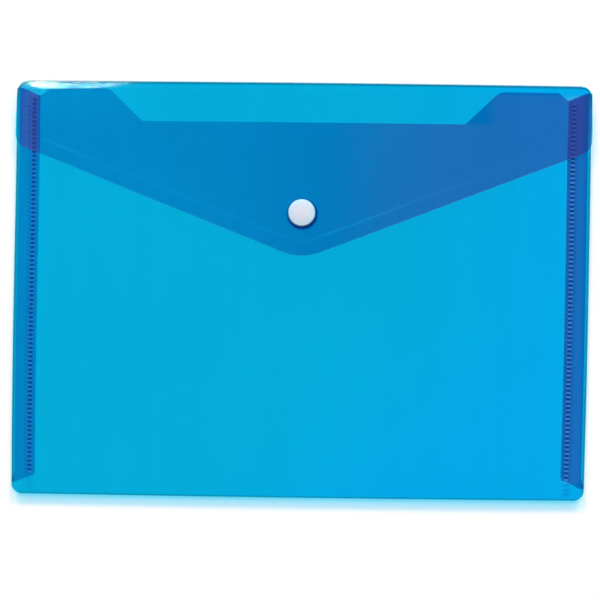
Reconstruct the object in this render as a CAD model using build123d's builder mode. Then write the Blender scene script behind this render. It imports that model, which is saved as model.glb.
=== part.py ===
# Document wallet of translucent sheet, lying on its back panel with the flap folded over the front.
# X runs across the wallet, Y from the bottom fold to the flap's fold, and Z up from the table.
# The origin is on the table, under the middle of the wallet.

import os

from build123d import *

# Sheet and outline
sheet = 0.2
body_w = 332.0
body_h = 240.0
bottom_corner_r = 6.0
top_corner_r = 3.0

# Pocket
pocket_gap = 5.2
front_edge_inset = 1.9
front_top_drop = 3.3

# Thumb cut in the front panel's top edge
thumb_cut_depth = 20.1
thumb_cut_floor_w = 186.0
thumb_cut_mouth_w = 225.0
thumb_cut_floor_r = 3.0
thumb_cut_mouth_r = 5.0

# Side tabs, folded in from the back panel and lying under the front panel
tab_w = 13.5
tab_top_outer_drop = 4.0
tab_top_inner_drop = 8.5
tab_bottom_outer_rise = 7.0
tab_bottom_inner_rise = 11.7
tab_corner_r = 1.5

# Relief notch in the front panel's top edge at each side tab
relief_tab_clearance = 0.8
relief_depth = 5.0
relief_inner_run = 5.2
relief_outer_run = 10.4

# Weld between each side tab and the front panel: a fused band with a row of cross ticks
weld_web = 0.08
weld_tick_rise = 0.08
weld_tab_inset = 2.8
weld_band_w = 4.3
weld_tick_w = 2.3
weld_tick_h = 1.2
weld_tick_pitch = 2.53
weld_end_margin = 2.0

# Spine and shoulder: two narrow strips at the top, between the back panel's crease, the flap's crease and the
# score where the flap turns level
spine_lean = 1.1
shoulder_drop = 2.0
score_drop = 4.9
crease_clearance = 0.03

# Flap, to the point where its two slanted edges would meet, and the line embossed along them
flap_point_depth = 102.0
flap_shoulder_drop = 37.0
flap_tip_r = 30.0
flap_shoulder_r = 5.5
emboss_inset = 8.0
emboss_w = 0.8
emboss_h = 0.1
emboss_tab_clearance = 0.5

# Press stud: cap and socket on the flap, stud and inner cap on the front panel
stud_from_top = 74.9
cap_d = 16.0
cap_rim_h = 0.6
cap_dome_h = 1.0
cap_edge_r = 0.35
inner_cap_d = 14.0
inner_cap_h = 0.8
inner_cap_edge_r = 0.3
socket_d = 12.0
socket_cavity_h = 1.1
socket_web = 0.5
socket_edge_r = 0.25
stud_flange_d = 12.0
stud_flange_h = 0.5
nipple_d = 6.2
nipple_wall = 0.7
nipple_edge_r = 0.2
nipple_top_clearance = 0.15
nipple_side_clearance = 0.3
snap_clearance = 0.1
post_d = 3.0
post_clearance = 0.05
rivet_head_overlap = 0.5
rivet_head_h = 0.3

# Levels
half_w = body_w / 2
half_h = body_h / 2
weld_h = weld_web + weld_tick_rise
socket_h = socket_web + socket_cavity_h
front_z = sheet + pocket_gap
front_top = front_z + sheet
tab_top = front_z - weld_h
tab_z = tab_top - sheet
stud_top = front_top + stud_flange_h
socket_z = stud_top + snap_clearance
socket_web_z = socket_z + socket_cavity_h
flap_z = socket_z + socket_h
flap_top = flap_z + sheet
clear_of_all = 2 * flap_top

# Rolled folds along the sides and the bottom
side_fold_r = tab_top / 2
side_fold_x = half_w - side_fold_r
bottom_fold_r = front_top / 2
bottom_fold_y = bottom_fold_r - half_h
corner_x = half_w - bottom_corner_r
fold_end_x = corner_x + (bottom_corner_r**2 - (bottom_corner_r - bottom_fold_r) ** 2) ** 0.5
fold_end_slant = (fold_end_x - corner_x) / bottom_fold_r

# Creases: the spine's two edges are rounded about these axes, and its neighbours end just short of them
crease_r = sheet / 2
back_crease_y = half_h - crease_r
back_crease_z = sheet / 2
flap_mid_z = flap_z + sheet / 2
flap_crease_y = half_h - spine_lean
flap_crease_z = flap_mid_z - shoulder_drop
spine_run = back_crease_y - flap_crease_y
spine_rise = flap_crease_z - back_crease_z
spine_len = (spine_run**2 + spine_rise**2) ** 0.5
back_end_y = back_crease_y - crease_r * (spine_len + spine_run) / spine_rise - crease_clearance

# Shoulder, from just short of the flap's crease to the score
score_y = half_h - score_drop
shoulder_run = flap_crease_y - score_y
shoulder_len = (shoulder_run**2 + shoulder_drop**2) ** 0.5
shoulder_along = Vector(-shoulder_run, shoulder_drop) / shoulder_len
shoulder_up = Vector(shoulder_drop, shoulder_run) / shoulder_len
shoulder_end = Vector(flap_crease_y, flap_crease_z) + shoulder_along * (crease_r + crease_clearance)
shoulder_half_z = crease_r * shoulder_len / shoulder_run

# Side tabs and welds
tab_inner_x = half_w - tab_w
tab_top_y = half_h - tab_top_outer_drop
tab_inner_top_y = half_h - tab_top_inner_drop
tab_bottom_y = tab_bottom_outer_rise - half_h
tab_inner_bottom_y = tab_bottom_inner_rise - half_h
weld_x = tab_inner_x + weld_tab_inset
weld_len = tab_inner_top_y - tab_inner_bottom_y - 2 * weld_end_margin
weld_y = (tab_inner_top_y + tab_inner_bottom_y) / 2
weld_tick_count = int(weld_len / weld_tick_pitch)

# Front panel
front_w = body_w - 2 * front_edge_inset
front_top_y = half_h - front_top_drop
front_corner_r = bottom_corner_r - front_edge_inset
thumb_floor_y = front_top_y - thumb_cut_depth
relief_x = tab_inner_x - relief_tab_clearance

# Flap
flap_shoulder_y = half_h - flap_shoulder_drop
flap_point_y = half_h - flap_point_depth
flap_slope = (flap_shoulder_y - flap_point_y) / half_w
flap_slope_stretch = (1 + flap_slope**2) ** 0.5
emboss_x = tab_inner_x - emboss_tab_clearance

# Press stud
stud_y = half_h - stud_from_top
cap_r = cap_d / 2
cap_rim_z = flap_top + cap_rim_h
cap_top = cap_rim_z + cap_dome_h
cap_dome_r = (cap_r**2 + cap_dome_h**2) / (2 * cap_dome_h)
inner_cap_r = inner_cap_d / 2
inner_cap_z = front_z - inner_cap_h
socket_r = socket_d / 2
stud_flange_r = stud_flange_d / 2
nipple_r = nipple_d / 2
nipple_bore_r = nipple_r - nipple_wall
nipple_top = socket_web_z - nipple_top_clearance
cavity_r = nipple_r + nipple_side_clearance
post_r = post_d / 2
post_hole_r = post_r + post_clearance
rivet_r = post_r + rivet_head_overlap
stud_plane = Plane(origin=(0, stud_y, 0), x_dir=(1, 0, 0), z_dir=(0, -1, 0))
stud_axis = Axis((0, stud_y, 0), (0, 0, 1))


def emboss_edge(inset):
    """Draws one edge of the embossed line, parallel to the flap's slanted edges and inset from them."""
    point_y = flap_point_y + inset * flap_slope_stretch
    side_y = point_y + flap_slope * emboss_x
    return FilletPolyline((-emboss_x, side_y), (0, point_y), (emboss_x, side_y), radius=flap_tip_r - inset)


# Outline of the closed wallet, seen from above
with BuildSketch(Plane.XY) as outline:
    Rectangle(body_w, body_h)
    fillet(outline.vertices().group_by(Axis.Y)[0], bottom_corner_r)
    fillet(outline.vertices().group_by(Axis.Y)[-1], top_corner_r)

# Back panel, between the spine's lower crease, the side folds and the bottom fold
with BuildPart() as back_panel:
    with BuildSketch(Plane.XY):
        add(outline.sketch)
        with Locations((0, back_end_y)):
            Rectangle(body_w, body_h, align=(Align.CENTER, Align.MIN), mode=Mode.SUBTRACT)
        with Locations((0, bottom_fold_y)):
            Rectangle(body_w, body_h, align=(Align.CENTER, Align.MAX), mode=Mode.SUBTRACT)
        with Locations((side_fold_x, tab_bottom_y)):
            Rectangle(body_w, tab_top_y - tab_bottom_y, align=(Align.MIN, Align.MIN), mode=Mode.SUBTRACT)
        with Locations((-side_fold_x, tab_bottom_y)):
            Rectangle(body_w, tab_top_y - tab_bottom_y, align=(Align.MAX, Align.MIN), mode=Mode.SUBTRACT)
    extrude(amount=sheet)

# Bottom fold, rolled from the back panel up to the front panel, with its ends cut back at the corners
with BuildPart() as bottom_fold:
    with BuildSketch(Plane.YZ):
        with Locations((bottom_fold_y, bottom_fold_r)):
            Circle(bottom_fold_r)
            Circle(bottom_fold_r - sheet, mode=Mode.SUBTRACT)
            Rectangle(body_h, body_h, align=(Align.MIN, Align.CENTER), mode=Mode.SUBTRACT)
    extrude(amount=half_w, both=True)
    with BuildSketch(Plane.XY):
        with BuildLine():
            wide_end = fold_end_x + fold_end_slant * bottom_fold_r
            narrow_end = corner_x - fold_end_slant * bottom_fold_r
            Polyline(
                (-wide_end, bottom_fold_y + bottom_fold_r),
                (wide_end, bottom_fold_y + bottom_fold_r),
                (narrow_end, bottom_fold_y - 2 * bottom_fold_r),
                (-narrow_end, bottom_fold_y - 2 * bottom_fold_r),
                close=True,
            )
        make_face()
    extrude(amount=clear_of_all, both=True, mode=Mode.INTERSECT)

# Front panel, with the thumb cut, a relief notch at each side tab and the hole for the stud's post
with BuildPart() as front_panel:
    with BuildSketch(Plane.XY.offset(front_z)) as front_sketch:
        with Locations((0, -half_h)):
            Rectangle(front_w, front_top_y + half_h, align=(Align.CENTER, Align.MIN))
        fillet(front_sketch.vertices().group_by(Axis.Y)[0], front_corner_r)
        with Locations((0, bottom_fold_y)):
            Rectangle(front_w, body_h, align=(Align.CENTER, Align.MAX), mode=Mode.SUBTRACT)
        with BuildLine():
            Polyline(
                (-thumb_cut_mouth_w / 2, front_top_y),
                (-thumb_cut_floor_w / 2, thumb_floor_y),
                (thumb_cut_floor_w / 2, thumb_floor_y),
                (thumb_cut_mouth_w / 2, front_top_y),
                close=True,
            )
        make_face(mode=Mode.SUBTRACT)
        cut_corners = front_sketch.vertices().filter_by_position(
            Axis.X, -thumb_cut_mouth_w / 2, thumb_cut_mouth_w / 2
        )
        fillet(cut_corners.filter_by_position(Axis.Y, thumb_floor_y, thumb_floor_y), thumb_cut_floor_r)
        mouth_corners = front_sketch.vertices().filter_by_position(
            Axis.X, -thumb_cut_mouth_w / 2, thumb_cut_mouth_w / 2
        )
        fillet(mouth_corners.filter_by_position(Axis.Y, front_top_y, front_top_y), thumb_cut_mouth_r)
        with BuildLine():
            relief = Polyline(
                (relief_x - relief_inner_run, front_top_y),
                (relief_x, front_top_y - relief_depth),
                (relief_x + relief_outer_run, front_top_y),
                close=True,
            )
        make_face(mode=Mode.SUBTRACT)
        with BuildLine():
            mirror(relief, about=Plane.YZ)
        make_face(mode=Mode.SUBTRACT)
        with Locations((0, stud_y)):
            Circle(post_hole_r, mode=Mode.SUBTRACT)
    extrude(amount=sheet)

# Side folds, rolled from the back panel up to the tabs
with BuildPart() as right_side_fold:
    with BuildSketch(Plane.XZ.offset(-tab_bottom_y)):
        with Locations((side_fold_x, side_fold_r)):
            Circle(side_fold_r)
            Circle(side_fold_r - sheet, mode=Mode.SUBTRACT)
            Rectangle(body_w, body_w, align=(Align.MAX, Align.CENTER), mode=Mode.SUBTRACT)
    extrude(amount=tab_bottom_y - tab_top_y)

with BuildPart() as left_side_fold:
    mirror(right_side_fold.part, about=Plane.YZ)

# Side tabs, with slanted ends
with BuildPart() as right_tab:
    with BuildSketch(Plane.XY.offset(tab_z)) as tab_sketch:
        with BuildLine():
            Polyline(
                (side_fold_x, tab_bottom_y),
                (side_fold_x, tab_top_y),
                (tab_inner_x, tab_inner_top_y),
                (tab_inner_x, tab_inner_bottom_y),
                close=True,
            )
        make_face()
        fillet(tab_sketch.vertices().group_by(Axis.X)[0], tab_corner_r)
    extrude(amount=sheet)

with BuildPart() as left_tab:
    mirror(right_tab.part, about=Plane.YZ)

# Welds, holding the front panel to the tabs
with BuildPart() as right_weld:
    with BuildSketch(Plane.XY.offset(tab_top)):
        with Locations((weld_x, weld_y)):
            Rectangle(weld_band_w, weld_len)
    extrude(amount=weld_web)
    with BuildSketch(Plane.XY.offset(tab_top + weld_web)):
        with Locations((weld_x, weld_y)):
            with GridLocations(weld_band_w, weld_tick_pitch, 1, weld_tick_count):
                Rectangle(weld_tick_w, weld_tick_h)
    extrude(amount=weld_tick_rise)

with BuildPart() as left_weld:
    mirror(right_weld.part, about=Plane.YZ)

# Spine, turning on the back panel's crease
with BuildPart() as spine:
    with BuildSketch(Plane.YZ):
        SlotCenterPoint(
            ((back_crease_y + flap_crease_y) / 2, (back_crease_z + flap_crease_z) / 2),
            (back_crease_y, back_crease_z),
            sheet,
        )
    extrude(amount=half_w, both=True)
    extrude(outline.sketch, amount=clear_of_all, both=True, mode=Mode.INTERSECT)

# Shoulder, turning on the spine's upper edge
with BuildPart() as shoulder:
    with BuildSketch(Plane.YZ):
        with BuildLine():
            Polyline(
                (score_y, flap_mid_z - shoulder_half_z),
                shoulder_end - shoulder_up * crease_r,
                shoulder_end + shoulder_up * crease_r,
                (score_y, flap_mid_z + shoulder_half_z),
                close=True,
            )
        make_face()
    extrude(amount=half_w, both=True)
    extrude(outline.sketch, amount=clear_of_all, both=True, mode=Mode.INTERSECT)

# Flap, with its embossed line and the hole for the cap's post
with BuildPart() as flap:
    with BuildSketch(Plane.XY.offset(flap_z)):
        with BuildLine():
            flap_edge = FilletPolyline(
                (-half_w, score_y),
                (-half_w, flap_shoulder_y),
                (0, flap_point_y),
                (half_w, flap_shoulder_y),
                (half_w, score_y),
                radius=[flap_shoulder_r, flap_tip_r, flap_shoulder_r],
            )
            Line(flap_edge @ 1, flap_edge @ 0)
        make_face()
        with Locations((0, stud_y)):
            Circle(post_hole_r, mode=Mode.SUBTRACT)
    extrude(amount=sheet)
    with BuildSketch(Plane.XY.offset(flap_top)):
        with BuildLine():
            outer_edge = emboss_edge(emboss_inset)
            inner_edge = emboss_edge(emboss_inset + emboss_w)
            Line(outer_edge @ 0, inner_edge @ 0)
            Line(outer_edge @ 1, inner_edge @ 1)
        make_face()
    extrude(amount=emboss_h)

# Cap on the flap: a low dome with a post riveted inside the socket
with BuildPart() as snap_cap:
    with BuildSketch(stud_plane) as cap_sketch:
        with BuildLine():
            Polyline(
                (0, cap_top),
                (0, socket_web_z - rivet_head_h),
                (rivet_r, socket_web_z - rivet_head_h),
                (rivet_r, socket_web_z),
                (post_r, socket_web_z),
                (post_r, flap_top),
                (cap_r, flap_top),
                (cap_r, cap_rim_z),
            )
            dome_mid_z = cap_top - cap_dome_r + (cap_dome_r**2 - (cap_r / 2) ** 2) ** 0.5
            ThreePointArc((cap_r, cap_rim_z), (cap_r / 2, dome_mid_z), (0, cap_top))
        make_face()
        fillet(cap_sketch.vertices().group_by(Axis.X)[-1].sort_by(Axis.Y)[-1], cap_edge_r)
    revolve(axis=stud_axis)

# Socket under the flap
with BuildPart() as snap_socket:
    with BuildSketch(stud_plane) as socket_sketch:
        with BuildLine():
            Polyline(
                (post_hole_r, flap_z),
                (post_hole_r, socket_web_z),
                (cavity_r, socket_web_z),
                (cavity_r, socket_z),
                (socket_r, socket_z),
                (socket_r, flap_z),
                close=True,
            )
        make_face()
        fillet(socket_sketch.vertices().group_by(Axis.X)[-1].sort_by(Axis.Y)[0], socket_edge_r)
    revolve(axis=stud_axis)

# Stud on the front panel, a flange with a hollow nipple
with BuildPart() as snap_stud:
    with BuildSketch(stud_plane) as stud_sketch:
        with BuildLine():
            Polyline(
                (post_hole_r, front_top),
                (stud_flange_r, front_top),
                (stud_flange_r, stud_top),
                (nipple_r, stud_top),
                (nipple_r, nipple_top),
                (nipple_bore_r, nipple_top),
                (nipple_bore_r, stud_top),
                (post_hole_r, stud_top),
                close=True,
            )
        make_face()
        fillet(stud_sketch.vertices().group_by(Axis.Y)[-1].sort_by(Axis.X)[-1], nipple_edge_r)
    revolve(axis=stud_axis)

# Inner cap in the pocket, with a post riveted inside the nipple
with BuildPart() as snap_inner_cap:
    with BuildSketch(stud_plane) as inner_cap_sketch:
        with BuildLine():
            Polyline(
                (0, inner_cap_z),
                (inner_cap_r, inner_cap_z),
                (inner_cap_r, front_z),
                (post_r, front_z),
                (post_r, stud_top),
                (rivet_r, stud_top),
                (rivet_r, stud_top + rivet_head_h),
                (0, stud_top + rivet_head_h),
                close=True,
            )
        make_face()
        fillet(inner_cap_sketch.vertices().group_by(Axis.X)[-1].sort_by(Axis.Y)[0], inner_cap_edge_r)
    revolve(axis=stud_axis)

# Export
pieces = {
    "back_panel": back_panel,
    "bottom_fold": bottom_fold,
    "front_panel": front_panel,
    "left_side_fold": left_side_fold,
    "right_side_fold": right_side_fold,
    "left_tab": left_tab,
    "right_tab": right_tab,
    "left_weld": left_weld,
    "right_weld": right_weld,
    "spine": spine,
    "shoulder": shoulder,
    "flap": flap,
    "snap_cap": snap_cap,
    "snap_socket": snap_socket,
    "snap_stud": snap_stud,
    "snap_inner_cap": snap_inner_cap,
}
os.makedirs("parts", exist_ok=True)
for name, piece in pieces.items():
    piece.part.label = name
    export_step(piece.part, f"parts/{name}.step")
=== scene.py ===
import math

import bmesh
import bpy
import numpy as np
from mathutils import Matrix, Quaternion, Vector

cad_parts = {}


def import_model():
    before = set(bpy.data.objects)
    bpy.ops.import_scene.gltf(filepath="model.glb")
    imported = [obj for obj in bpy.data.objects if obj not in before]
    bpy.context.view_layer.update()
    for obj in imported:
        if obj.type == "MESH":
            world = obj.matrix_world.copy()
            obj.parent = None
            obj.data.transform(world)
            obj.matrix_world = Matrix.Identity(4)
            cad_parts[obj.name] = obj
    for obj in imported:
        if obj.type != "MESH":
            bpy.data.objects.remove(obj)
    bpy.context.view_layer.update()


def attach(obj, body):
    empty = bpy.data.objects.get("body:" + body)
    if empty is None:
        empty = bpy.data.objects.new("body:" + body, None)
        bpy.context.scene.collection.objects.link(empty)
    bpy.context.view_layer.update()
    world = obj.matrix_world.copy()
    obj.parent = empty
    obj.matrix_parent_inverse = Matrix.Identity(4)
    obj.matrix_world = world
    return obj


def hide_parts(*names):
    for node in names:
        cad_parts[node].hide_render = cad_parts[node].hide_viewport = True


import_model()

# A document wallet of translucent sheet, lying closed on a white table and seen from above.
# Lengths are in millimetres until a mesh is made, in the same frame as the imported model.
MM = 0.001

# Sheet and outline. Points nearer than POINTS_MEET become one, and a cut edge's paleness fades between
# the two distances of CUT_EDGE from the cut. An ear is a corner beyond the ends of a side fold.
SHEET = 0.2
POINTS_MEET = 0.004
CUT_EDGE = (0.1, 0.8)
HALF_W = 166.0
HALF_H = 120.0
BOTTOM_R = 6.0
TOP_R = 6.0
BACK_Z = 0.1
FRONT_Z = 5.5
TAB_Z = 5.14
SIDE_X = 163.38
SIDE_R = 2.52
BOTTOM_Y = -117.2
FOLD_R = 2.7
FRONT_HALF_W = 163.8
FRONT_TOP_Y = 115.4
EAR_DRAWN_IN = 0.45
EAR_LEAST = 0.4
ARC_STEPS = 16
EAR_STEPS = 5

# How this wallet lies: askew, with its edges drawn in, as (y, by how much), and bowed
ASKEW = 0.73
LEFT_DRAWN_IN = (
    (-120, 0.3), (-105, 0.28), (-85, 0.12), (-30, 0.08), (0, 0.2), (55, 0.4), (80, 0.4), (98, 0.15),
)
RIGHT_DRAWN_IN = ((-120, 0.3), (-100, 0.25), (-50, 0.06), (0, 0.12), (70, 0.25), (85, 0.25), (95, -0.1))
BOWED_SIDES = 0.3
BOWED_TOP = 0.55
BOWED_BOTTOM = 0.5
PANEL_BOW = 0.14

# Thumb cut and relief notches in the front panel's top edge
THUMB_FLOOR_Y = 96.6
BELOW_THUMB_Y = 90.0
BELOW_THUMB_SHARE = 0.86
THUMB_FLOOR_X = 93.0
THUMB_MOUTH_X = 112.5
THUMB_FLOOR_R = 3.0
THUMB_MOUTH_R = 8.0
RELIEF_X = 151.7
RELIEF_Y = 110.8
RELIEF_INNER_X = 146.5
RELIEF_OUTER_X = 161.9
RELIEF_R = 2.0
RELIEF_END_R = 0.6

# Side tabs and welds
TAB_INNER_X = 152.1
TAB_TOP = (115.4, 110.6)
TAB_BOTTOM = (-113.0, -108.3)
RIGHT_TAB_LIFTED = 1.3
TAB_CORNER_R = 1.5
WELD_X = 155.3
WELD_Y = {"left": 1.4, "right": 0.7}
WELD_PITCH = 2.521
WELD_COUNT = 87
TICK = (2.5, 1.0)
TICK_Z = (5.61, 5.70)
PIT = (2.3, 1.2)
PIT_Z = (5.26, 5.38)
# Dark marks beside the weld that paint the shadow of its ticks: where they stand, their size and height
TICK_SHADOW_X = {"left": 158.1, "right": 153.2}
TICK_SHADOW = (1.2, 1.0)
TICK_SHADOW_Z = (5.61, 5.66)
IMPRINT_ROWS = (-116.4, -113.6, -110.8)
WELD_STRIP = (-109.5, 110.5)

# Creases, shoulder and flap
BACK_CREASE = (119.9, 0.1)
FLAP_CREASE = (118.9, 5.9)
SCORE_Y = 115.1
FLAP_Z = 7.9
SHOULDER_END_Y = 113.9
SHOULDER_CURVE = 0.30
FLAP_SIDE_Y = 82.4
FLAP_POINT_Y = 17.6
FLAP_TIP_R = 30.0
FLAP_SHOULDER_R = 8.5
FLAP_TAPER = 0.9
FLAP_SINKS = 0.9
TIP_SINKS = 0.5
SPINE_BULGE = 0.08
EMBOSS_INSET = 8.4
EMBOSS_HALF_W = 1.3
EMBOSS_H = 0.1
EMBOSS_END_X = 152.0
# How strongly the embossed line shows along x, as (x, share)
EMBOSS_STRENGTH = (
    (-138, 1.0), (-122, 0.45), (5, 0.45), (14, 1.0), (45, 0.95), (70, 0.6), (115, 0.5), (150, 0.3),
)

# Press stud
STUD_Y = 44.55
# A painted shadow ring round the stud on the flap, set off towards the lower right
STUD_SHADOW_RING = {"x": 0.6, "y": 43.85, "inner": 7.9, "outer": 9.5}
LATHE_STEPS = 96


# Curves and grids

def rounded(points, radii, steps=10):
    """A polyline with its inner corners rounded."""
    pts = [Vector(p) for p in points]
    out = [pts[0]]
    for before, here, after, r in zip(pts, pts[1:], pts[2:], radii):
        a, b = (before - here).normalized(), (after - here).normalized()
        half = a.angle(b) / 2
        reach = r / math.tan(half)
        centre = here + (a + b).normalized() * (r / math.sin(half))
        start, end = here + a * reach - centre, here + b * reach - centre
        turn = start.angle_signed(end)
        for i in range(steps + 1):
            out.append(centre + Matrix.Rotation(-turn * i / steps, 2) @ start)
    out.append(pts[-1])
    return np.array([tuple(p) for p in out])


def spread(*stops):
    """Positions from the first stop on, each later stop being (position, number of steps to it)."""
    out = [stops[0]]
    for end, steps in stops[1:]:
        out += list(np.linspace(out[-1], end, steps + 1)[1:])
    return np.array(out)


def both_sides(right):
    """Positions mirrored about zero. The first is zero."""
    return np.concatenate([-right[:0:-1], right])


def smooth(x, low, high):
    t = np.clip((x - low) / (high - low), 0.0, 1.0)
    return t * t * (3 - 2 * t)


def outline_half_w(y, top=BACK_CREASE[0]):
    """Half the closed wallet's width at y, with its rounded corners, of which the upper ones end at top."""
    y = np.asarray(y, dtype=float)
    low = np.clip(-(HALF_H - BOTTOM_R) - y, 0, BOTTOM_R)
    high = np.clip(y - (top - TOP_R), 0, TOP_R)
    return HALF_W - BOTTOM_R + np.sqrt(BOTTOM_R**2 - low**2) - TOP_R + np.sqrt(TOP_R**2 - high**2)


def lie(x, y):
    """Where a point comes to lie. The wallet rests a little askew, with its edges slightly bowed."""
    out, up = x / HALF_W, y / HALF_H
    left = np.interp(y, *zip(*LEFT_DRAWN_IN)) * np.clip(-out, 0, 1) ** 2
    right = np.interp(y, *zip(*RIGHT_DRAWN_IN)) * np.clip(out, 0, 1) ** 2
    sides = BOWED_SIDES * out * (2 / 3 - up**2) + left - right
    bottom = BOWED_BOTTOM * smooth(-up, 0.35, 0.98) * (out**2 - 1 / 3)
    top = BOWED_TOP * smooth(up, 0.35, 0.98) * out**2
    return x + ASKEW * up + sides, y + bottom - top


class Sheet:
    """Collects grids of points that share edges, then becomes one closed shell of even thickness."""

    # What the film's material reads at each point, from 0 to 1
    MARKS = ("thin", "edge", "dense", "deep", "rim", "streak")

    def __init__(self):
        self.points, self.faces = [], []
        self.marks = {mark: [] for mark in self.MARKS}

    def grid(self, x, y, z, **marks):
        x, y, z = np.broadcast_arrays(x, y, z)
        rows, cols = x.shape
        base = len(self.points)
        to_x, to_y = lie(x, y)
        self.points += [(a * MM, b * MM, c * MM) for a, b, c in zip(to_x.flat, to_y.flat, z.flat)]
        for mark in self.MARKS:
            self.marks[mark] += [float(v) for v in np.broadcast_to(marks.get(mark, 0.0), x.shape).flat]
        for r in range(rows - 1):
            for c in range(cols - 1):
                a = base + r * cols + c
                self.faces.append((a, a + 1, a + cols + 1, a + cols))

    def piece(self, name, material):
        mesh = bpy.data.meshes.new(name + "_middle")
        mesh.from_pydata(self.points, [], self.faces)
        for mark, values in self.marks.items():
            mesh.attributes.new(mark, "FLOAT", "POINT").data.foreach_set("value", values)
        bm = bmesh.new()
        bm.from_mesh(mesh)
        bmesh.ops.remove_doubles(bm, verts=bm.verts, dist=POINTS_MEET * MM)
        bmesh.ops.recalc_face_normals(bm, faces=bm.faces)
        bm.to_mesh(mesh)
        bm.free()
        mesh.materials.append(material)
        middle = bpy.data.objects.new(name + "_middle", mesh)
        bpy.context.scene.collection.objects.link(middle)
        solid = middle.modifiers.new("thickness", "SOLIDIFY")
        solid.thickness = SHEET * MM
        solid.offset = 0.0
        solid.use_even_offset = True
        depsgraph = bpy.context.evaluated_depsgraph_get()
        shown = bpy.data.meshes.new_from_object(
            middle.evaluated_get(depsgraph), preserve_all_data_layers=True, depsgraph=depsgraph
        )
        bpy.data.objects.remove(middle)
        shown.name = name
        return finished(name, shown)


def finished(name, mesh, sharp=40):
    mesh.shade_smooth()
    mesh.set_sharp_from_angle(angle=math.radians(sharp))
    piece = bpy.data.objects.new(name, mesh)
    bpy.context.scene.collection.objects.link(piece)
    return piece


# Node materials

class Nodes:
    """Short ways to add nodes to one material."""

    def __init__(self, name):
        self.material = bpy.data.materials.new(name)
        self.material.use_nodes = True
        self.tree = self.material.node_tree
        self.tree.nodes.clear()
        self.place = self.add("TexCoord").outputs["Object"]

    def add(self, kind, settings=(), **values):
        node = self.tree.nodes.new("ShaderNode" + kind)
        for key, value in dict(settings).items():
            setattr(node, key, value)
        for key, value in values.items():
            self.put(node.inputs[key.replace("_", " ")], value)
        return node

    def put(self, socket, value):
        if isinstance(value, bpy.types.NodeSocket):
            self.tree.links.new(value, socket)
        else:
            socket.default_value = value

    def math(self, operation, a, b=0.0):
        node = self.add("Math", {"operation": operation})
        self.put(node.inputs[0], a)
        self.put(node.inputs[1], b)
        return node.outputs[0]

    def noise(self, scale, detail=2.0, stretch=(1, 1, 1)):
        mapping = self.add("Mapping", Vector=self.place, Scale=stretch)
        node = self.add("TexNoise", Vector=mapping.outputs[0], Scale=scale, Detail=detail)
        return node.outputs[0]

    def ranged(self, value, low, high, to_low, to_high):
        node = self.add("MapRange", {"interpolation_type": "SMOOTHSTEP"})
        for i, v in enumerate((value, low, high, to_low, to_high)):
            self.put(node.inputs[i], v)
        return node.outputs[0]

    def blend(self, factor, a, b, kind="MIX"):
        node = self.add("Mix", {"data_type": "RGBA", "blend_type": kind})
        self.put(node.inputs[0], factor)
        self.put(node.inputs[6], a)
        self.put(node.inputs[7], b)
        return node.outputs[2]

    def axis(self, name):
        return self.add("SeparateXYZ", Vector=self.place).outputs[name]

    def bump(self, height, distance, strength):
        return self.add("Bump", Height=height, Distance=distance, Strength=strength).outputs[0]

    def done(self, shader):
        output = self.add("OutputMaterial")
        self.tree.links.new(shader, output.inputs["Surface"])
        return self.material


# Red, green and blue that one layer lets through, and the colour and share of its haze
LAYER_LEFT = (0.02, 0.63, 0.80)
LAYER_RIGHT = (0.02, 0.62, 0.865)
# The lighter tint, also used for a painted glow at the flap's upper left corner
LAYER_LIGHTER = (0.05, 0.76, 0.92)
LAYER_DENSE = (0.02, 0.53, 0.63)
LAYER_DEEP = (0.02, 0.46, 0.79)
LAYER_RIM = (0.03, 0.32, 0.36)
LAYER_SLANT = (0.01, 0.36, 0.44)
HAZE_LEFT = (0.0, 0.22, 0.6, 1.0)
HAZE_RIGHT = (0.0, 0.2, 0.6, 1.0)
HAZE_EDGE = (0.1, 0.5, 0.85, 1.0)
HAZE_BLUSH = (0.5, 0.2, 0.6, 1.0)
HAZE = 0.05
# How much the painted shadow round the stud darkens the flap
STUD_SHADOW_TINT = (0.12, 0.30, 0.6, 1.0)

# The moulded stud's two tones, the blues of a painted reflection of the sheet near its rim and at it, and
# the radii at which the first blue begins, the first is full and the second is full
MOULDING_TONES = ((0.70, 0.72, 0.84, 1.0), (0.77, 0.765, 0.87, 1.0))
MOULDING_NEAR_RIM = (0.59, 0.755, 0.885, 1.0)
MOULDING_RIM = (0.40, 0.66, 0.95, 1.0)
RIM_FROM = (2.5, 6.8, 7.8)


def face_tint(layer):
    """What one face of a sheet lets through, from what the whole sheet lets through."""
    return tuple(min(1.0, math.sqrt(v) / (1 - HAZE)) for v in layer) + (1.0,)


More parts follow.
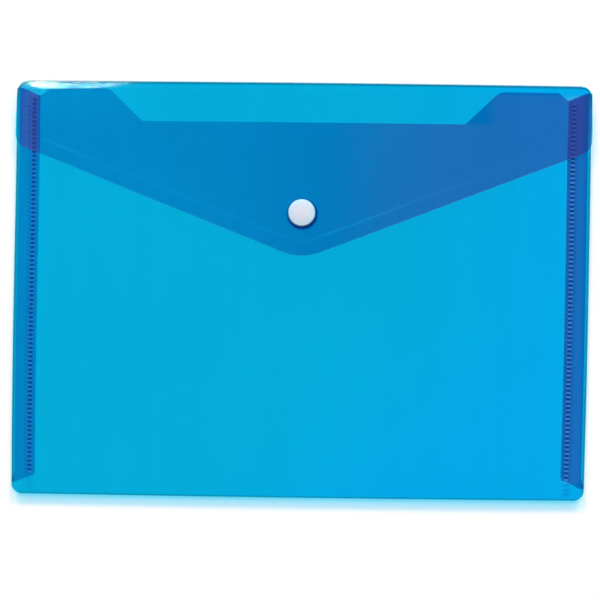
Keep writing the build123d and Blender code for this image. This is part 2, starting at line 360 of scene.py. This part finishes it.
def film(name, stud_shadow=None):
    """Translucent sheet. Its cut edges are paler, and on the flap it has a painted shadow ring round the
    stud.
    """
    n = Nodes(name)
    mark = {m: n.add("Attribute", {"attribute_name": m}).outputs["Fac"] for m in Sheet.MARKS}
    across = towards_right(n)
    facing = n.add("LayerWeight", Blend=0.5).outputs["Facing"]
    tint = n.blend(across, face_tint(LAYER_LEFT), face_tint(LAYER_RIGHT))
    # Lighter where marked, which includes a painted glow at the flap's upper left corner
    tint = n.blend(mark["thin"], tint, face_tint(LAYER_LIGHTER))
    tint = n.blend(mark["dense"], tint, face_tint(LAYER_DENSE))
    tint = n.blend(mark["deep"], tint, face_tint(LAYER_DEEP))
    tint = n.blend(mark["rim"], tint, face_tint(LAYER_RIM))
    slant = n.math("MULTIPLY", n.math("POWER", facing, 2.0), n.math("SUBTRACT", 1.0, mark["thin"]))
    tint = n.blend(slant, tint, face_tint(LAYER_SLANT))
    cloud = n.ranged(n.noise(7.0, 2.0), 0.3, 0.7, 0.992, 1.0)
    streak = n.ranged(n.noise(90.0, 2.0, (1.0, 0.02, 1.0)), 0.3, 0.7, 0.995, 1.0)
    tint = n.blend(1.0, tint, n.math("MULTIPLY", cloud, streak), "MULTIPLY")
    # A painted shadow ring round the stud
    if stud_shadow:
        tint = n.blend(painted_stud_shadow(n, **stud_shadow), tint, STUD_SHADOW_TINT, "MULTIPLY")
    clear = n.add("BsdfTransparent", Color=tint)
    haze = n.blend(mark["edge"], n.blend(across, HAZE_LEFT, HAZE_RIGHT), HAZE_EDGE)
    violet = n.math("MULTIPLY", blush(n, bool(stud_shadow)), n.ranged(mark["deep"], 0.0, 0.6, 1.0, 0.5))
    gloss = n.add(
        "BsdfPrincipled",
        Base_Color=n.blend(violet, haze, HAZE_BLUSH),
        Roughness=n.ranged(n.noise(60.0, 3.0), 0.3, 0.7, 0.045, 0.06),
        IOR=1.5,
        Normal=n.bump(n.noise(900.0, 2.0, (0.03, 1.0, 1.0)), 0.00002, 0.015),
    )
    gloss.inputs["Specular IOR Level"].default_value = 0.4
    ripple = n.ranged(n.noise(1100.0, 2.0, (0.02, 1.0, 1.0)), 0.3, 0.7, -0.006, 0.008)
    share = n.math("ADD", n.math("MULTIPLY", n.math("POWER", facing, 4.0), 0.35), HAZE)
    share = n.math("ADD", share, n.math("MULTIPLY", mark["edge"], 0.04))
    share = n.math("ADD", share, n.math("MULTIPLY", mark["streak"], ripple))
    mixed = n.add("MixShader")
    n.put(mixed.inputs[0], share)
    n.tree.links.new(clear.outputs[0], mixed.inputs[1])
    n.tree.links.new(gloss.outputs[0], mixed.inputs[2])
    return n.done(mixed.outputs[0])


def towards_right(n):
    """How far the tint has turned from the left one to the right one, across and towards the lower right."""
    x, y = n.axis("X"), n.axis("Y")
    lower_right = n.ranged(n.math("SUBTRACT", x, y), 0.04, 0.19, 0.0, 1.0)
    return n.math("MAXIMUM", n.ranged(x, 0.03, 0.17, 0.0, 1.0), lower_right)


def blush(n, flap):
    """How violet the sheet's haze is: over the seams, and at the right of the flap below the thumb cut."""
    x, y = n.axis("X"), n.axis("Y")
    out = n.math("ABSOLUTE", x) if flap else x
    seam = n.ranged(out, 0.151, 0.153, 0.0, 1.0)
    seam = n.math("MULTIPLY", seam, n.ranged(out, 0.160, 0.1635, 1.0, 0.0))
    if not flap:
        return n.math("MULTIPLY", n.math("MULTIPLY", seam, 0.4), n.ranged(y, -0.111, -0.109, 0.0, 1.0))
    below_cut = n.ranged(y, 0.0955, 0.0975, 1.0, 0.0)
    over_front = n.math("MAXIMUM", below_cut, n.ranged(x, 0.105, 0.114, 0.0, 1.0))
    right = n.math("MULTIPLY", n.ranged(x, 0.01, 0.08, 0.0, 0.42), over_front)
    return n.math("MULTIPLY", n.math("MAXIMUM", seam, right), n.ranged(y, 0.1115, 0.1145, 1.0, 0.0))


def from_axis(n, x, y):
    """The distance from an upright axis."""
    apart = n.add("VectorMath", {"operation": "DISTANCE"})
    flat = n.add("VectorMath", {"operation": "MULTIPLY"})
    n.put(flat.inputs[0], n.place)
    n.put(flat.inputs[1], (1.0, 1.0, 0.0))
    n.put(apart.inputs[0], flat.outputs[0])
    n.put(apart.inputs[1], (x * MM, y * MM, 0.0))
    return apart.outputs["Value"]


def painted_stud_shadow(n, x, y, inner, outer):
    """A painted shadow: one on a ring about a point, fading out to its outer radius."""
    return n.ranged(from_axis(n, x, y), inner * MM, outer * MM, 1.0, 0.0)


def fused(name, tint, body, share):
    """Welded sheet: denser than the sheet round it. Also the dark marks that paint the weld ticks' shadow.
    """
    n = Nodes(name)
    mottle = n.ranged(n.noise(700.0, 2.0), 0.3, 0.7, 0.94, 1.0)
    clear = n.add("BsdfTransparent", Color=n.blend(1.0, tuple(tint) + (1.0,), mottle, "MULTIPLY"))
    solid = n.add(
        "BsdfPrincipled",
        Base_Color=n.blend(1.0, tuple(body) + (1.0,), mottle, "MULTIPLY"),
        Roughness=0.35,
        Normal=n.bump(n.noise(1500.0), 0.00003, 0.1),
    )
    solid.inputs["Specular IOR Level"].default_value = 0.2
    mixed = n.add("MixShader")
    n.put(mixed.inputs[0], share)
    n.tree.links.new(clear.outputs[0], mixed.inputs[1])
    n.tree.links.new(solid.outputs[0], mixed.inputs[2])
    return n.done(mixed.outputs[0])


def white_moulding():
    """White moulded plastic with a fine satin grain, and a painted blue reflection of the sheet towards its
    rim.
    """
    n = Nodes("white_moulding")
    tone = n.blend(n.noise(350.0, 3.0), *MOULDING_TONES)
    away = from_axis(n, *lie(0.0, STUD_Y))
    start, near, rim = (r * MM for r in RIM_FROM)
    # Painted blue reflection of the sheet, growing towards the rim
    tone = n.blend(n.ranged(away, start, near, 0.0, 1.0), tone, MOULDING_NEAR_RIM)
    tone = n.blend(n.ranged(away, near, rim, 0.0, 1.0), tone, MOULDING_RIM)
    shader = n.add(
        "BsdfPrincipled",
        Base_Color=tone,
        Roughness=n.ranged(n.noise(500.0, 2.0), 0.3, 0.7, 0.28, 0.42),
        IOR=1.49,
        Subsurface_Weight=0.3,
        Subsurface_Radius=(1.0, 1.0, 1.0),
        Subsurface_Scale=0.0015,
        Normal=n.bump(n.noise(3500.0, 2.0), 0.00003, 0.3),
    )
    shader.inputs["Specular IOR Level"].default_value = 0.2
    return n.done(shader.outputs[0])


FILM = film("blue_film")
FLAP_FILM = film("blue_flap_film", stud_shadow=STUD_SHADOW_RING)
# For each side, the weld's pit, its tick and a dark mark that paints the tick's shadow, with their tint,
# body and share of body
WELDS = {
    "left": (
        fused("left_weld_pit", (0.7, 0.90, 0.95), (0.01, 0.17, 0.50), 0.8),
        fused("left_weld_tick", (0.6, 0.92, 0.97), (0.018, 0.23, 0.62), 0.85),
        fused("left_weld_tick_shadow", (0.8, 1.0, 1.0), (0.003, 0.175, 0.49), 0.9),
    ),
    "right": (
        fused("right_weld_pit", (0.8, 0.95, 0.98), (0.0, 0.125, 0.43), 0.8),
        fused("right_weld_tick", (0.6, 0.95, 1.0), (0.05, 0.25, 0.65), 0.85),
        fused("right_weld_tick_shadow", (0.8, 1.0, 1.0), (0.008, 0.115, 0.42), 0.85),
    ),
}
WHITE = white_moulding()


# Pocket: back panel, rolled folds, tabs and front panel in one sheet

def relief_and_thumb():
    """The front panel's top edge, from its middle to its right end."""
    points = [
        (0, THUMB_FLOOR_Y),
        (THUMB_FLOOR_X, THUMB_FLOOR_Y),
        (THUMB_MOUTH_X, FRONT_TOP_Y),
        (RELIEF_INNER_X, FRONT_TOP_Y),
        (RELIEF_X, RELIEF_Y),
        (RELIEF_OUTER_X, FRONT_TOP_Y),
        (FRONT_HALF_W, FRONT_TOP_Y),
    ]
    return rounded(points, [THUMB_FLOOR_R, THUMB_MOUTH_R, RELIEF_END_R, RELIEF_R, RELIEF_END_R])


def panel_bow(x, y):
    """A slight unevenness of the front panel, none of it at the stud."""
    free = 1 - np.exp(-(x**2 + (y - STUD_Y) ** 2) / 30.0**2)
    wave = np.sin(0.021 * x + 0.6) * np.cos(0.026 * y - 0.4) + 0.6 * np.sin(0.037 * x - 0.019 * y)
    held = smooth(y, BOTTOM_Y, BOTTOM_Y + 30) * smooth(150.0 - np.abs(x), 0, 30)
    return PANEL_BOW * free * held * wave


def imprint(x, y):
    """The strip that the welding tool presses, and the faint marks that it leaves below the tabs."""
    off = np.abs(np.abs(x) - WELD_X)
    marks = sum(1 - smooth(np.abs(y - row), 0.5, 1.1) for row in IMPRINT_ROWS)
    marks = np.where(x > 0, 1.0, 0.5) * marks * (1 - smooth(off, 1.5, 2.6))
    strip = smooth(y - WELD_STRIP[0], 0, 1) * smooth(WELD_STRIP[1] - y, 0, 1) * (1 - smooth(off, 1.8, 3.2))
    return np.maximum(marks, 0.6 * strip)


def add_back(sheet, inner):
    """The back panel, with an ear beyond each side fold's ends."""
    low, high = TAB_BOTTOM[0], TAB_TOP[0]
    rows = spread(BOTTOM_Y, (low, 6), (high, 48), (118.0, 4), (BACK_CREASE[0], 6))
    wide = np.minimum(SIDE_X, outline_half_w(rows) - EAR_LEAST)[:, None]
    sheet.grid(inner[None, :] * wide, rows[:, None], BACK_Z)
    ear = np.linspace(0, 1, EAR_STEPS + 1)
    for side in (-1, 1):
        for part in (rows <= low, rows >= high):
            reach = outline_half_w(rows[part])[:, None] - wide[part]
            sheet.grid(side * (wide[part] + ear * reach), rows[part][:, None], BACK_Z)
        add_side(sheet, rows[(rows >= low) & (rows <= high)], side)


def add_side(sheet, rows, side):
    """A rolled side fold and the tab that follows it, with slanted ends."""
    turn = np.linspace(-math.pi / 2, math.pi / 2, ARC_STEPS + 1)
    tab_x = spread(SIDE_X, (TAB_INNER_X + 2.0, 8), (TAB_INNER_X, 8))
    edge = []
    lifted = RIGHT_TAB_LIFTED if side > 0 else 0.0
    for outer, inner in (TAB_TOP, (TAB_BOTTOM[0], TAB_BOTTOM[1] + lifted)):
        line = rounded([(SIDE_X, outer), (TAB_INNER_X, inner), (TAB_INNER_X, 0)], [TAB_CORNER_R])
        line = line[:-1][::-1]
        edge.append(np.interp(tab_x, line[:, 0], line[:, 1]))
    share = ((rows - rows[0]) / (rows[-1] - rows[0]))[:, None]
    fold_y = rows[:, None] + 0 * turn[None, :]
    outer = smooth(np.cos(turn), 0.25, 0.85)[None, :]
    sheet.grid(
        side * (SIDE_X + SIDE_R * np.cos(turn)), fold_y, BACK_Z + SIDE_R * (1 + np.sin(turn)),
        dense=outer * smooth(FLAP_SIDE_Y - rows, -2.0, 4.0)[:, None],
        thin=outer * smooth(rows - FLAP_SIDE_Y, -2.0, 4.0)[:, None],
        edge=0.6 * outer,
    )
    cut = 1 - smooth(tab_x - TAB_INNER_X, *CUT_EDGE)
    sheet.grid(side * tab_x[None, :], edge[1] + (edge[0] - edge[1]) * share, TAB_Z, edge=cut[None, :])


def add_front(sheet, inner):
    """The rolled bottom fold and the front panel, whose rows run evenly up to below the thumb cut."""
    wide = float(outline_half_w(BOTTOM_Y))
    ear = SIDE_X + np.linspace(0, 1, EAR_STEPS + 1)[1:] * (wide - SIDE_X)
    columns = np.concatenate([-ear[::-1], inner * SIDE_X, ear]) / wide
    turn = np.linspace(0, math.pi, ARC_STEPS + 1)
    drop = np.sin(turn)
    fold_y = BOTTOM_Y - FOLD_R * drop
    fold_w = outline_half_w(fold_y - SHEET / 2 * drop) - EAR_DRAWN_IN * (1 - np.cos(turn)) / 2
    fold_z = BACK_Z + FOLD_R * (1 - np.cos(turn))
    sheet.grid(
        columns[None, :] * fold_w[:, None], fold_y[:, None], fold_z[:, None],
        dense=0.4 * smooth(drop, 0.5, 0.95)[:, None],
    )
    top_line = relief_and_thumb()
    rows = spread(0.0, (0.05, 16), (BELOW_THUMB_SHARE, 34), (0.98, 7), (1.0, 6))
    low_y = BOTTOM_Y + rows / BELOW_THUMB_SHARE * (BELOW_THUMB_Y - BOTTOM_Y)
    above_ear = smooth(low_y, TAB_BOTTOM[0], TAB_BOTTOM[0] + 7.0)
    half_w = outline_half_w(np.minimum(low_y, 0.0)) - EAR_DRAWN_IN * (1 - above_ear)
    half_w -= (HALF_W - FRONT_HALF_W) * above_ear
    x = columns[None, :] * half_w[:, None]
    top = np.interp(np.abs(columns * FRONT_HALF_W), top_line[:, 0], top_line[:, 1])[None, :]
    rest = (rows[:, None] - BELOW_THUMB_SHARE) / (1 - BELOW_THUMB_SHARE)
    y = np.where(rest <= 0, low_y[:, None], BELOW_THUMB_Y + rest * (top - BELOW_THUMB_Y))
    cut = 1 - smooth(top - y, *CUT_EDGE)
    rim = (1 - smooth(half_w[:, None] - np.abs(x), 0.3, 0.9)) * (1 - smooth(y, -112.0, -109.0))
    sheet.grid(x, y, FRONT_Z + panel_bow(x, y), edge=cut, deep=imprint(x, y), rim=rim)


def pocket_sheet():
    features = spread(
        0.0, (90.0, 22), (96.0, 15), (108.0, 4), (117.0, 22), (145.0, 8), (153.5, 24), (160.5, 10),
        (162.41, 8),
    )
    inner = both_sides(features / features[-1])
    sheet = Sheet()
    add_back(sheet, inner)
    add_front(sheet, inner)
    piece = sheet.piece("pocket_sheet", FILM)
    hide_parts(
        "back_panel", "bottom_fold", "front_panel",
        "left_side_fold", "right_side_fold", "left_tab", "right_tab",
    )
    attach(piece, "pocket")


# Welds

def bar(bm, x, y, z, size, slot, top=0.75):
    """A low bar with its top drawn in."""
    low, high = [], []
    for sx, sy in ((-1, -1), (1, -1), (1, 1), (-1, 1)):
        for ring, height, drawn in ((low, z[0], 1.0), (high, z[1], top)):
            at_x, at_y = x + sx * size[0] / 2 * drawn, y + sy * size[1] / 2 * drawn
            to_x, to_y = lie(at_x, at_y)
            ring.append(bm.verts.new((float(to_x) * MM, float(to_y) * MM, height * MM)))
    faces = [low[::-1], high]
    faces += [(low[i], low[(i + 1) % 4], high[(i + 1) % 4], high[i]) for i in range(4)]
    for f in faces:
        bm.faces.new(f).material_index = slot


def weld_row(name, side):
    """Pits fused between tab and front panel, ticks standing on the front panel, and beside them dark marks
    that paint the ticks' shadow.
    """
    bm = bmesh.new()
    for i in range(WELD_COUNT):
        y = WELD_Y[name] + (i - (WELD_COUNT - 1) / 2) * WELD_PITCH
        bar(bm, side * WELD_X, y, TICK_Z, TICK, 1)
        # A dark mark that paints the tick's shadow
        bar(bm, side * TICK_SHADOW_X[name], y, TICK_SHADOW_Z, TICK_SHADOW, 2)
        if i:
            bar(bm, side * WELD_X, y - WELD_PITCH / 2, PIT_Z, PIT, 0)
    mesh = bpy.data.meshes.new(name)
    bm.to_mesh(mesh)
    bm.free()
    for material in WELDS[name]:
        mesh.materials.append(material)
    piece = finished(name + "_weld_row", mesh, sharp=25)
    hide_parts(name + "_weld")
    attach(piece, "pocket")


# Spine and flap

def flap_half_w(y):
    """Half the flap's width at y. It narrows a little towards its fold."""
    y = np.asarray(y, dtype=float)
    return outline_half_w(y, FLAP_CREASE[0]) - FLAP_TAPER * smooth(y, FLAP_SIDE_Y, HALF_H)


def columns_to_edge():
    right = spread(0.0, (14.0, 14), (150.0, 40), (160.0, 8), (164.5, 9), (166.0, 10))
    return both_sides(right / right[-1])


def spine_sheet():
    share = np.linspace(0, 1, 9)
    y = BACK_CREASE[0] + (FLAP_CREASE[0] - BACK_CREASE[0]) * share
    z = BACK_CREASE[1] + (FLAP_CREASE[1] - BACK_CREASE[1]) * share
    bulge = SPINE_BULGE * np.sin(math.pi * share)
    ends = float(outline_half_w(BACK_CREASE[0])), float(flap_half_w(FLAP_CREASE[0]))
    half_w = ends[0] + (ends[1] - ends[0]) * share
    sheet = Sheet()
    sheet.grid(columns_to_edge()[None, :] * half_w[:, None], (y + bulge)[:, None], z[:, None])
    piece = sheet.piece("spine_sheet", FILM)
    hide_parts("spine")
    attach(piece, "spine")


def flap_edge(x):
    """The flap's lower edge at x."""
    points = [(0, FLAP_POINT_Y), (HALF_W, FLAP_SIDE_Y), (HALF_W, SCORE_Y)]
    side = rounded(points, [FLAP_SHOULDER_R], 24)[:-1]
    slope = (FLAP_SIDE_Y - FLAP_POINT_Y) / HALF_W
    straight = np.interp(np.abs(x), side[:, 0], side[:, 1])
    lifted = 0.15 + 0.35 * smooth(-x, 95.0, 145.0) - 0.3 * smooth(x, -20.0, 60.0)
    return np.maximum(straight, tip_edge(x, slope, 0.0)) + lifted


def tip_edge(x, slope, inset):
    """The flap's point, rounded, or a line inset from it."""
    r = FLAP_TIP_R - inset
    stretch = math.sqrt(1 + slope**2)
    point = FLAP_POINT_Y + inset * stretch
    centre = point + r * stretch
    run = r * slope / stretch
    arc = centre - np.sqrt(np.clip(r**2 - np.minimum(np.abs(x), run) ** 2, 0, None))
    return np.where(np.abs(x) < run, arc, point + slope * np.abs(x))


def flap_rest(x, y):
    """How far the flap sinks towards the front panel, away from its fold and its stud."""
    sides = FLAP_SINKS * (np.abs(x) / HALF_W) ** 2 * smooth(SCORE_Y - y, 0, 34)
    tip = TIP_SINKS * np.clip((38.0 - y) / 18.0, 0, 1.2) ** 2
    return -(sides + tip)


def flap_rim(x, y):
    """The dark rim along the flap's sides and fold, strongest round its upper corners."""
    out = np.abs(x)
    turn_y = FLAP_CREASE[0] - TOP_R
    turn_x = float(flap_half_w(turn_y)) - TOP_R
    inset = TOP_R - np.hypot(np.clip(out - turn_x, 0, None), np.clip(y - turn_y, 0, None))
    inset = np.minimum(inset, flap_half_w(y) - out)
    corner = smooth(y, 104.0, 112.0) * smooth(out, turn_x - 5.0, turn_x)
    fold = smooth(y, 117.0, 118.2)
    return (1 - smooth(inset, 0.5, 1.5)) * (0.3 + 0.7 * np.maximum(corner, 0.7 * fold))


def paler(x, y):
    """The flap's paler upper left corner: a painted glow of light below the highlight."""
    return 0.55 * smooth(y, 84.0, 114.0) * smooth(-x, 70.0, 150.0) * smooth(x, -153.0, -151.0)


def shoulder_sheet():
    u = columns_to_edge()
    share = np.linspace(0, 1, 16)
    y = FLAP_CREASE[0] + (SHOULDER_END_Y - FLAP_CREASE[0]) * share
    rise = share * (1 + SHOULDER_CURVE) - SHOULDER_CURVE * share**2
    z = FLAP_CREASE[1] + (FLAP_Z - FLAP_CREASE[1]) * rise
    sheet = Sheet()
    wide = u[None, :] * flap_half_w(y)[:, None]
    rim = flap_rim(wide, y[:, None])
    # Its paler upper left corner is a painted glow
    sheet.grid(wide, y[:, None], z[:, None], streak=1.0, rim=rim, thin=paler(wide, y[:, None]))
    piece = sheet.piece("shoulder_sheet", FLAP_FILM)
    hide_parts("shoulder")
    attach(piece, "flap")
    return piece


def flap_sheet():
    u = columns_to_edge()
    sheet = Sheet()
    x = u * HALF_W
    slope = (FLAP_SIDE_Y - FLAP_POINT_Y) / HALF_W
    edge = flap_edge(x)
    insets = spread(14.0, (9.8, 4), (7.0, 14), (1.0, 6), (0.0, 4))
    first = np.array([tip_edge(x, slope, i) - tip_edge(x, slope, 0.0) for i in insets]) + edge
    upper = np.linspace(0, 1, 19)[:-1, None]
    rows = np.concatenate([SHOULDER_END_Y + (first[0] - SHOULDER_END_Y)[None, :] * upper, first])
    line = np.zeros_like(rows)
    profile = np.cos(np.clip((insets - EMBOSS_INSET) / EMBOSS_HALF_W, -1, 1) * math.pi / 2) ** 2
    line_strength = smooth(EMBOSS_END_X - np.abs(x), 0, 3) * np.interp(x, *zip(*EMBOSS_STRENGTH))
    line[len(upper):] = profile[:, None] * line_strength[None, :]
    wide = u[None, :] * flap_half_w(np.maximum(rows, FLAP_SIDE_Y))
    cut = np.zeros_like(rows)
    cut[len(upper):] = 1 - smooth(insets, *CUT_EDGE)[:, None]
    # Its paler upper left corner is a painted glow
    sheet.grid(
        wide, rows, FLAP_Z + EMBOSS_H * line + flap_rest(wide, rows),
        thin=np.maximum(line, paler(wide, rows)), edge=np.maximum(cut, 0.3 * line),
        rim=flap_rim(wide, rows),
    )
    piece = sheet.piece("flap_sheet", FLAP_FILM)
    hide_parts("flap")
    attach(piece, "flap")


# Press stud

def lathe(name, profile, node, body):
    """A turned piece about the stud's axis, from a closed outline of (radius, height)."""
    bm = bmesh.new()
    rings = []
    x, y = (float(v) for v in lie(0.0, STUD_Y))
    for r, z in profile:
        if r < 1e-6:
            rings.append([bm.verts.new((x * MM, y * MM, z * MM))])
            continue
        ring = []
        for i in range(LATHE_STEPS):
            a = 2 * math.pi * i / LATHE_STEPS
            ring.append(bm.verts.new(((x + r * math.cos(a)) * MM, (y + r * math.sin(a)) * MM, z * MM)))
        rings.append(ring)
    for a, b in zip(rings, rings[1:] + rings[:1]):
        for i in range(LATHE_STEPS):
            j = (i + 1) % LATHE_STEPS
            quad = [a[i % len(a)], a[j % len(a)], b[j % len(b)], b[i % len(b)]]
            corners = list(dict.fromkeys(quad))
            if len(corners) > 2:
                bm.faces.new(corners)
    bmesh.ops.recalc_face_normals(bm, faces=bm.faces)
    mesh = bpy.data.meshes.new(name)
    bm.to_mesh(mesh)
    bm.free()
    mesh.materials.append(WHITE)
    piece = finished(name, mesh, sharp=35)
    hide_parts(node)
    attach(piece, body)


def arc(centre, radii, start, end, steps):
    out = []
    for i in range(steps + 1):
        a = math.radians(start + (end - start) * i / steps)
        out.append((centre[0] + radii[0] * math.cos(a), centre[1] + radii[1] * math.sin(a)))
    return out


def press_stud():
    dome = [(r, 9.6 - 0.45 * (r / 6.7) ** 2) for r in np.linspace(0, 6.7, 12)]
    cap = dome + arc((6.7, 8.25), (1.15, 0.9), 84, 0, 12) + [(7.8, 8.02)]
    cap += [(1.5, 8.02), (1.5, 7.3), (2.0, 7.3), (2.0, 7.02), (0, 7.02)]
    lathe("snap_cap_moulding", cap, "snap_cap", "flap")
    socket = [(1.6, 7.78), (1.6, 7.32), (3.4, 7.3), (3.4, 6.7), (3.22, 6.5), (3.4, 6.22), (3.6, 6.2)]
    socket += arc((5.7, 6.5), (0.3, 0.3), -90, 0, 5) + arc((5.7, 7.5), (0.3, 0.28), 0, 90, 5)
    lathe("snap_socket_moulding", socket, "snap_socket", "flap")
    stud = [(2.4, 5.62)] + arc((5.75, 5.86), (0.25, 0.24), -90, 90, 8) + [(3.3, 6.1), (2.9, 6.25)]
    stud += arc((2.75, 6.75), (0.35, 0.38), -40, 90, 8) + [(2.4, 7.1)]
    lathe("snap_stud_moulding", stud, "snap_stud", "pocket")
    inner = [(0, 4.6)] + [(6.2, 4.66)] + arc((6.7, 4.92), (0.3, 0.26), -80, 0, 6) + [(7.0, 5.38)]
    inner += [(1.5, 5.38), (1.5, 6.6), (0, 6.6)]
    lathe("snap_inner_moulding", inner, "snap_inner_cap", "pocket")


# Table, light and camera

# What each further layer leaves of the table's painted glow in green and blue, as (from x, to x, share at
# the first, share at the second), how many layers leave all of it, and the table's lit colour and glow,
# which paint its shadow cyan
UNDER_GREEN = (-0.07, 0.10, 0.86, 0.55)
UNDER_BLUE = (-0.055, 0.155, 0.945, 0.62)
FREE_LAYERS = 2.0
FACES = 2
TABLE_LIT = (0.93, 0.52, 0.22, 1.0)
TABLE_CYAN_GLOW = (0.09, 0.50, 0.80, 1.0)
TABLE_UNSEEN = (0.93, 0.93, 0.93, 1.0)
TABLE = {"steps": 64, "reach": 5.0, "z": -0.0004}

# The sky, as (from z, to z, strength at the first, strength at the second)
SKY = (0.0, 0.9, 0.3, 0.04)

# The direction from which two lamps make the highlight on the shoulder, and their colour
GLINT_FROM = (-0.124, 0.7477, 0.6523)
GLINT_COLOR = (1.0, 0.84, 0.5)

# The camera's focal length in pixels of the picture's width, its turn, aim and distance
FOCAL, PICTURE_W, SENSOR_W = 2072.4, 600, 36.0
CAMERA_TURN = (-0.01757, 0.01709, 0.01205)
CAMERA_AIM = (-0.00026, -0.00571, 0.0)
CAMERA_AWAY = 1.2


def white_table():
    """White where the light reaches it, with a painted cyan shadow, and a painted glow seen through the
    sheet that dims under more layers of it.
    """
    n = Nodes("white_table")
    path = n.add("LightPath")
    direct = path.outputs["Is Camera Ray"]
    mirrored = n.math("MAXIMUM", path.outputs["Is Glossy Ray"], path.outputs["Is Transmission Ray"])
    seen = n.math("MAXIMUM", direct, mirrored)
    depth = path.outputs["Transparent Depth"]
    x = n.axis("X")
    # Painted light: the glow seen through the sheet dims under each further layer, and more towards the
    # right
    across = n.ranged(x, -0.10, 0.17, 0.0, 1.0)
    passed = n.math("MULTIPLY", depth, 1 / FACES)
    layers = n.math("MAXIMUM", n.math("SUBTRACT", passed, FREE_LAYERS), 0.0)
    layers = n.math("POWER", layers, n.math("SUBTRACT", 2.0, across))
    under = n.add("CombineColor", Red=1.0)
    for name, per_layer in (("Green", UNDER_GREEN), ("Blue", UNDER_BLUE)):
        n.put(under.inputs[name], n.math("POWER", n.ranged(x, *per_layer), layers))
    glow = n.add("Emission", Color=under.outputs[0], Strength=1.0)
    lit = n.add("BsdfDiffuse", Color=n.blend(seen, TABLE_UNSEEN, TABLE_LIT))
    cyan_glow = n.add("Emission", Color=TABLE_CYAN_GLOW)
    n.put(cyan_glow.inputs["Strength"], seen)
    both = n.add("AddShader")
    n.tree.links.new(lit.outputs[0], both.inputs[0])
    n.tree.links.new(cyan_glow.outputs[0], both.inputs[1])
    mixed = n.add("MixShader")
    n.put(mixed.inputs[0], n.math("MULTIPLY", direct, n.math("GREATER_THAN", depth, 0.5)))
    n.tree.links.new(both.outputs[0], mixed.inputs[1])
    n.tree.links.new(glow.outputs[0], mixed.inputs[2])
    return n.done(mixed.outputs[0])


def table():
    mesh = bpy.data.meshes.new("table")
    steps, reach, z = TABLE["steps"], TABLE["reach"], TABLE["z"]
    ring = [2 * math.pi * i / steps for i in range(steps)]
    mesh.from_pydata([(reach * math.cos(a), reach * math.sin(a), z) for a in ring], [], [range(steps)])
    piece = bpy.data.objects.new("table", mesh)
    bpy.context.scene.collection.objects.link(piece)
    mesh.materials.append(white_table())


def world():
    scene_world = bpy.data.worlds.new("studio")
    bpy.context.scene.world = scene_world
    scene_world.use_nodes = True
    tree = scene_world.node_tree
    tree.nodes.clear()
    place = tree.nodes.new("ShaderNodeTexCoord")
    parts = tree.nodes.new("ShaderNodeSeparateXYZ")
    fade = tree.nodes.new("ShaderNodeMapRange")
    for i, v in enumerate(SKY, 1):
        fade.inputs[i].default_value = v
    path = tree.nodes.new("ShaderNodeLightPath")
    seen = path.outputs["Is Camera Ray"]
    for mirrored in ("Is Glossy Ray", "Is Transmission Ray"):
        either = tree.nodes.new("ShaderNodeMath")
        either.operation = "MAXIMUM"
        tree.links.new(seen, either.inputs[0])
        tree.links.new(path.outputs[mirrored], either.inputs[1])
        seen = either.outputs[0]
    pick = tree.nodes.new("ShaderNodeMix")
    pick.inputs[3].default_value = 1.0
    back = tree.nodes.new("ShaderNodeBackground")
    output = tree.nodes.new("ShaderNodeOutputWorld")
    tree.links.new(place.outputs["Generated"], parts.inputs[0])
    tree.links.new(parts.outputs["Z"], fade.inputs[0])
    tree.links.new(seen, pick.inputs[0])
    tree.links.new(fade.outputs[0], pick.inputs[2])
    tree.links.new(pick.outputs[0], back.inputs["Strength"])
    tree.links.new(back.outputs[0], output.inputs["Surface"])


def lamp(name, kind, place, aim, energy, roll=0.0, **settings):
    data = bpy.data.lights.new(name, kind)
    data.energy = energy
    for key, value in settings.items():
        setattr(data, key, value)
    light = bpy.data.objects.new(name, data)
    bpy.context.scene.collection.objects.link(light)
    light.location = place
    facing = (Vector(aim) - Vector(place)).to_track_quat("-Z", "Y")
    light.rotation_euler = (facing @ Quaternion((0, 0, 1), roll)).to_euler()
    light.visible_camera = False
    return light


def sun(name, towards, energy, angle):
    light = lamp(name, "SUN", towards, (0, 0, 0), energy, angle=math.radians(angle))
    light.visible_glossy = False


def glint(name, shown_on, place, energy, size, roll):
    """A long lamp that only the gloss of one piece shows."""
    aim = Vector(place) - Vector(GLINT_FROM)
    shape = {"shape": "ELLIPSE", "size": size[0], "size_y": size[1]}
    light = lamp(name, "AREA", place, aim, energy, roll, color=GLINT_COLOR, **shape)
    light.visible_diffuse = False
    light.light_linking.receiver_collection = shown_on


def lights(shoulder):
    sun("left_key", (-0.2, 0.816, 0.543), 1.5, 13.5)
    sun("right_key", (0.2, 0.816, 0.543), 1.5, 13.5)
    sun("left_fill", (-0.36, 0.54, 0.76), 0.83, 42)
    sun("right_fill", (0.36, 0.54, 0.76), 0.83, 42)
    shown_on = bpy.data.collections.new("glint_shows_on")
    shown_on.objects.link(shoulder)
    glint("soft_glint", shown_on, (-0.2013, 0.6082, 0.3494), 7.2, (0.0714, 0.3177), -0.229)
    glint("bright_glint", shown_on, (-0.2409, 0.6741, 0.2662), 25.5, (0.0282, 0.5048), -0.07)


def camera():
    data = bpy.data.cameras.new("camera")
    data.sensor_width = SENSOR_W
    data.lens = FOCAL / PICTURE_W * SENSOR_W
    data.clip_end = 50.0
    turn = Vector(CAMERA_TURN)
    matrix = Matrix.Rotation(turn.length, 3, turn)
    place = Vector(CAMERA_AIM) + matrix @ Vector((0, 0, CAMERA_AWAY))
    view = bpy.data.objects.new("camera", data)
    bpy.context.scene.collection.objects.link(view)
    view.matrix_world = Matrix.Translation(place) @ matrix.to_4x4()
    bpy.context.scene.camera = view


pocket_sheet()
weld_row("left", -1)
weld_row("right", 1)
spine_sheet()
shoulder = shoulder_sheet()
flap_sheet()
press_stud()
table()
world()
lights(shoulder)
camera()
bpy.context.scene.view_settings.view_transform = "Standard"
bpy.context.scene.cycles.transparent_max_bounces = 64
